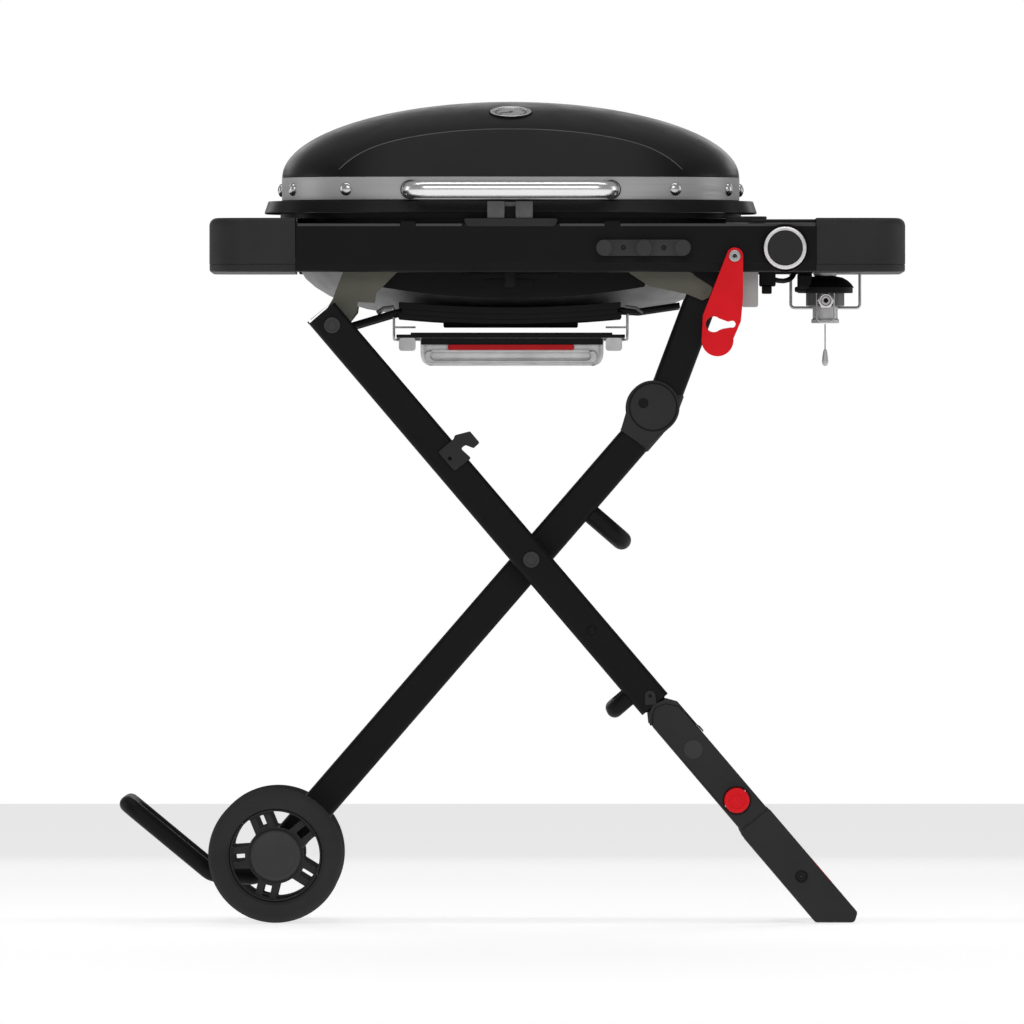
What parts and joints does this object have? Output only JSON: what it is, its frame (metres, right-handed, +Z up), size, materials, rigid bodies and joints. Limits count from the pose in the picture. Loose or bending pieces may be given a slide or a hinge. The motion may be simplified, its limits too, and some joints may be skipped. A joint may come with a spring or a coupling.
{
  "type": "gas barbecue grill",
  "caption": "Folding portable gas barbecue grill: domed lid over a cook box with side tables, on a scissor cart stand with wheels, release lever, control knob and slide-out drip tray.",
  "frame": {"origin": "on the ground, under the middle of the whole grill's bounding box, stand unfolded", "axes": "+Z up, +X to the right of a user facing the controls, -Y towards that user"},
  "size_m": [0.9024, 0.524, 0.944],
  "materials": {
    "black_enamel": "satin black enamel",
    "black_paint": "satin black powder coat",
    "black_plastic": "fine-grained moulded black",
    "rubber": "matt moulded",
    "steel": "brushed stainless",
    "polished_steel": "polished",
    "grey_alloy": "satin",
    "olive_steel": "satin olive grey",
    "red_plastic": "semi-gloss moulded red",
    "cast_iron": "matt porcelain coated",
    "brass": "machined",
    "hose": "matt hose"
  },
  "bodies": {
    "grill": {"cook_box": "black_enamel", "heat_shield": "black_enamel", "burner_tube": "steel", "grate_left": "cast_iron", "grate_right": "cast_iron", "gas_valve": "black_paint", "gas_hose": "hose", "regulator": "grey_alloy", "front_panel": "black_paint", "rear_panel": "black_paint", "side_table_left": "black_plastic", "side_table_right": "black_plastic", "leg_bracket_left_front": "olive_steel", "leg_bracket_left_rear": "olive_steel", "leg_bracket_right_front": "olive_steel", "leg_bracket_right_rear": "olive_steel", "tool_hook_rail": "black_plastic", "hanger_plate": "grey_alloy", "cylinder_bracket": "steel", "tray_hanger": "steel", "lock_block": "grey_alloy", "lid_hinge_rod": "steel"},
    "lid": {"lid_shell": "black_enamel", "lid_band": "steel", "lid_handle": "polished_steel", "thermometer": "steel", "lid_hinge_leaf": "black_paint"},
    "lid_lock": {"lid_lock_slider": "black_plastic"},
    "lever": {"lock_lever": "red_plastic"},
    "valve_stem": {"valve_stem": "brass"},
    "knob": {"control_knob": "black_plastic", "knob_ring": "polished_steel"},
    "tray": {"drip_tray": "grey_alloy", "tray_front": "red_plastic", "tray_flange": "black_paint"},
    "outer_legs": {"outer_leg_front": "black_paint", "outer_leg_rear": "black_paint", "cross_pin_front": "grey_alloy", "cross_pin_rear": "grey_alloy", "outer_crossbar": "black_paint", "leg_clip": "black_plastic"},
    "foot": {"foot_boot_front": "black_plastic", "foot_boot_rear": "black_plastic", "handle_bar": "black_paint"},
    "button_front": {"release_button_front": "red_plastic"},
    "button_rear": {"release_button_rear": "red_plastic"},
    "inner_legs": {"inner_leg_front": "black_paint", "inner_leg_rear": "black_paint", "knee_cover_front": "black_plastic", "knee_cover_rear": "black_plastic", "wheel_axle": "steel", "stand_bar": "black_paint", "foot_bar": "black_paint"},
    "upper_arms": {"upper_arm_front": "black_paint", "upper_arm_rear": "black_paint"},
    "wheel_front": {"wheel_front": "black_plastic", "tyre_front": "rubber"},
    "wheel_rear": {"wheel_rear": "black_plastic", "tyre_rear": "rubber"},
    "regulator_pull": {"regulator_pull": "steel"}
  },
  "joints": [
    {"name": "lid_hinge", "type": "hinge", "parent": "grill", "child": "lid", "pos_m": [0, 0.216, 0.835], "axis": [-1, 0, 0], "range_deg": [0, 80]},
    {"name": "lid_lock_slide", "type": "slide", "parent": "grill", "child": "lid_lock", "axis": [0, 0, 1], "range_m": [0, 0.01], "stiffness_N_per_m": 80, "springref_m": -0.004},
    {"name": "lever_swing", "type": "hinge", "parent": "grill", "child": "lever", "pos_m": [0.2555, -0.2275, 0.7646], "axis": [0, -1, 0], "range_deg": [-8, 25]},
    {"name": "valve_push", "type": "slide", "parent": "grill", "child": "valve_stem", "axis": [0, 1, 0], "range_m": [0, 0.004], "stiffness_N_per_m": 500, "springref_m": -0.002},
    {"name": "knob_turn", "type": "hinge", "parent": "valve_stem", "child": "knob", "pos_m": [0.3132, -0.23, 0.7737], "axis": [0, -1, 0], "range_deg": [0, 200]},
    {"name": "tray_slide", "type": "slide", "parent": "grill", "child": "tray", "axis": [0, 1, 0], "range_m": [-0.22, 0]},
    {"name": "stand_fold", "type": "hinge", "parent": "grill", "child": "outer_legs", "pos_m": [-0.2064, 0, 0.6851], "axis": [0, -1, 0], "range_deg": [0, 49.6]},
    {"name": "inner_leg_fold", "type": "hinge", "parent": "outer_legs", "child": "inner_legs", "pos_m": [0.0221, 0, 0.4163], "axis": [0, -1, 0], "range_deg": [-99.14, 0]},
    {"name": "knee_fold", "type": "hinge", "parent": "inner_legs", "child": "upper_arms", "pos_m": [0.1508, 0, 0.5957], "axis": [0, -1, 0], "range_deg": [0, 160.54]},
    {"name": "foot_fold", "type": "hinge", "parent": "outer_legs", "child": "foot", "pos_m": [0.208, 0, 0.1987], "axis": [0, 1, 0], "range_deg": [0, 60]},
    {"name": "button_front_push", "type": "slide", "parent": "foot", "child": "button_front", "axis": [0, 1, 0], "range_m": [0, 0.004], "stiffness_N_per_m": 300, "springref_m": -0.002},
    {"name": "button_rear_push", "type": "slide", "parent": "foot", "child": "button_rear", "axis": [0, -1, 0], "range_m": [0, 0.004], "stiffness_N_per_m": 300, "springref_m": -0.002},
    {"name": "wheel_front_spin", "type": "hinge", "parent": "inner_legs", "child": "wheel_front", "pos_m": [-0.2711, -0.245, 0.0772], "axis": [0, 1, 0], "continuous": true},
    {"name": "wheel_rear_spin", "type": "hinge", "parent": "inner_legs", "child": "wheel_rear", "pos_m": [-0.2711, 0.245, 0.0772], "axis": [0, 1, 0], "continuous": true},
    {"name": "regulator_pull_swing", "type": "hinge", "parent": "grill", "child": "regulator_pull", "pos_m": [0.3602, -0.11, 0.687], "axis": [0, -1, 0], "range_deg": [-40, 40]}
  ],
  "couplings": [
    {"joint": "inner_leg_fold", "follows": "stand_fold", "ratio": -1.9947},
    {"joint": "knee_fold", "follows": "stand_fold", "ratio": 3.2327}
  ]
}
